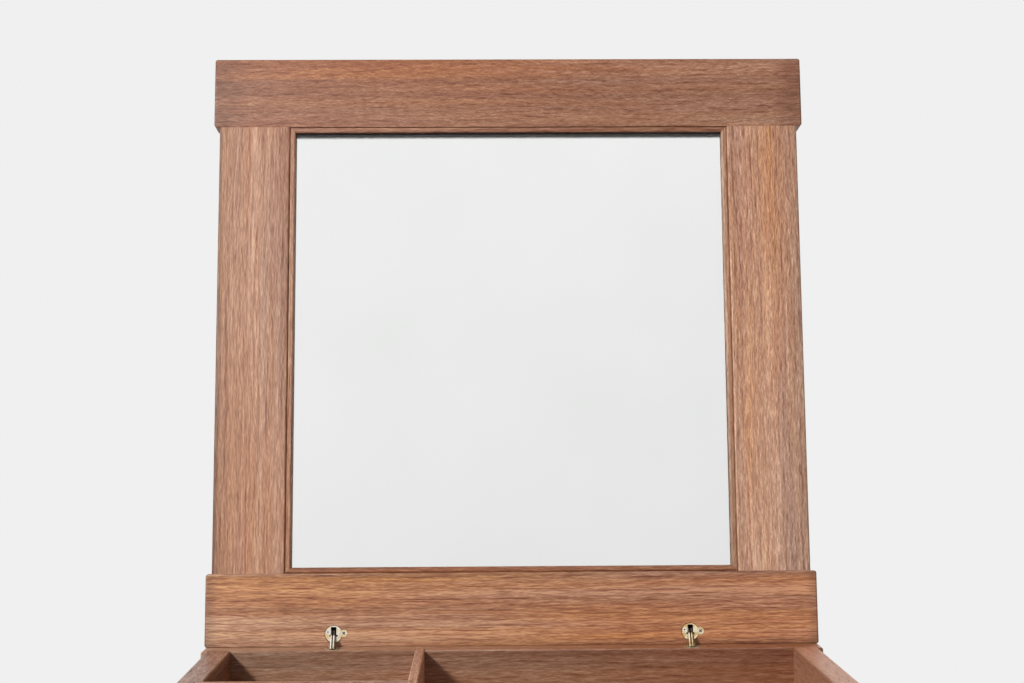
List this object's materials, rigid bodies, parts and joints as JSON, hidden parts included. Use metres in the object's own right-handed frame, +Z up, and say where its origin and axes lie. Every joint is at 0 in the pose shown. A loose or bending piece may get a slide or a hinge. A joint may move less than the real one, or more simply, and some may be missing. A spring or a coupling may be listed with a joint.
{
  "type": "dressing chest with mirror lid",
  "caption": "Low walnut dressing chest: an open divided well under a lift-up lid with a mirror on its inner face, and drawers below.",
  "frame": {"origin": "middle of the underside of the base board, where the chest stands", "axes": "+X to the right of someone facing the mirror, +Y to the back, +Z up"},
  "size_m": [0.52, 0.6299, 0.8495],
  "materials": {
    "walnut": "satin oil",
    "walnut_light": "satin oil",
    "pale_wood": "bare planed",
    "hardboard": "matte",
    "mirror": "silvered glass",
    "brass": "satin",
    "steel": "satin"
  },
  "bodies": {
    "chest": {"back_wall": "walnut", "well_rail": "walnut", "side_left": "walnut", "side_right": "walnut", "well_floor": "walnut", "long_divider": "walnut", "cross_divider": "walnut", "drawer_rail": "walnut", "base_board": "walnut", "wall_barrel_left": "brass", "wall_barrel_right": "brass", "wall_barrel_screws": "brass", "wall_grub_screws": "steel", "wall_arm_pins": "steel", "runner_lower_left": "pale_wood", "runner_lower_right": "pale_wood", "runner_upper_left": "pale_wood", "runner_upper_right": "pale_wood", "runner_screws": "steel"},
    "lid": {"lid_front_rail": "walnut", "lid_hinge_rail": "walnut", "lid_stile_left": "walnut_light", "lid_stile_right": "walnut_light", "lid_panel": "walnut", "mirror_glass": "mirror", "mirror_backing": "hardboard", "bead_front": "walnut", "bead_hinge_side": "walnut", "bead_left": "walnut", "bead_right": "walnut", "lid_barrel_left": "brass", "lid_barrel_right": "brass", "lid_barrel_screws": "brass", "lid_grub_screws": "steel", "lid_arm_pins": "steel"},
    "wall_arms": {"wall_arm_left": "brass", "wall_arm_right": "brass"},
    "lid_arms": {"lid_arms_left": "brass", "lid_arms_right": "brass"},
    "lower_drawer": {"lower_drawer_front": "walnut", "lower_drawer_left": "pale_wood", "lower_drawer_right": "pale_wood", "lower_drawer_back": "pale_wood", "lower_drawer_bottom": "pale_wood", "lower_knob": "walnut", "lower_knob_screw": "steel"},
    "upper_drawer": {"upper_drawer_front": "walnut", "upper_drawer_left": "pale_wood", "upper_drawer_right": "pale_wood", "upper_drawer_back": "pale_wood", "upper_drawer_bottom": "pale_wood", "upper_knob": "walnut", "upper_knob_screw": "steel"}
  },
  "joints": [
    {"name": "lid_hinge", "type": "hinge", "parent": "chest", "child": "lid", "pos_m": [0, 0.2569, 0.3403], "axis": [1, 0, 0], "range_deg": [0, 98]},
    {"name": "wall_arms_turn", "type": "hinge", "parent": "chest", "child": "wall_arms", "pos_m": [0, 0.2479, 0.335], "axis": [1, 0, 0], "range_deg": [0, 49]},
    {"name": "lid_arms_turn", "type": "hinge", "parent": "lid", "child": "lid_arms", "pos_m": [0, 0.2634, 0.34847], "axis": [1, 0, 0], "range_deg": [-49, 0]},
    {"name": "lower_drawer_slide", "type": "slide", "parent": "chest", "child": "lower_drawer", "axis": [0, -1, 0], "range_m": [0, 0.32]},
    {"name": "upper_drawer_slide", "type": "slide", "parent": "chest", "child": "upper_drawer", "axis": [0, -1, 0], "range_m": [0, 0.32]}
  ],
  "couplings": [
    {"joint": "wall_arms_turn", "follows": "lid_hinge", "ratio": 0.5},
    {"joint": "lid_arms_turn", "follows": "lid_hinge", "ratio": -0.5}
  ]
}
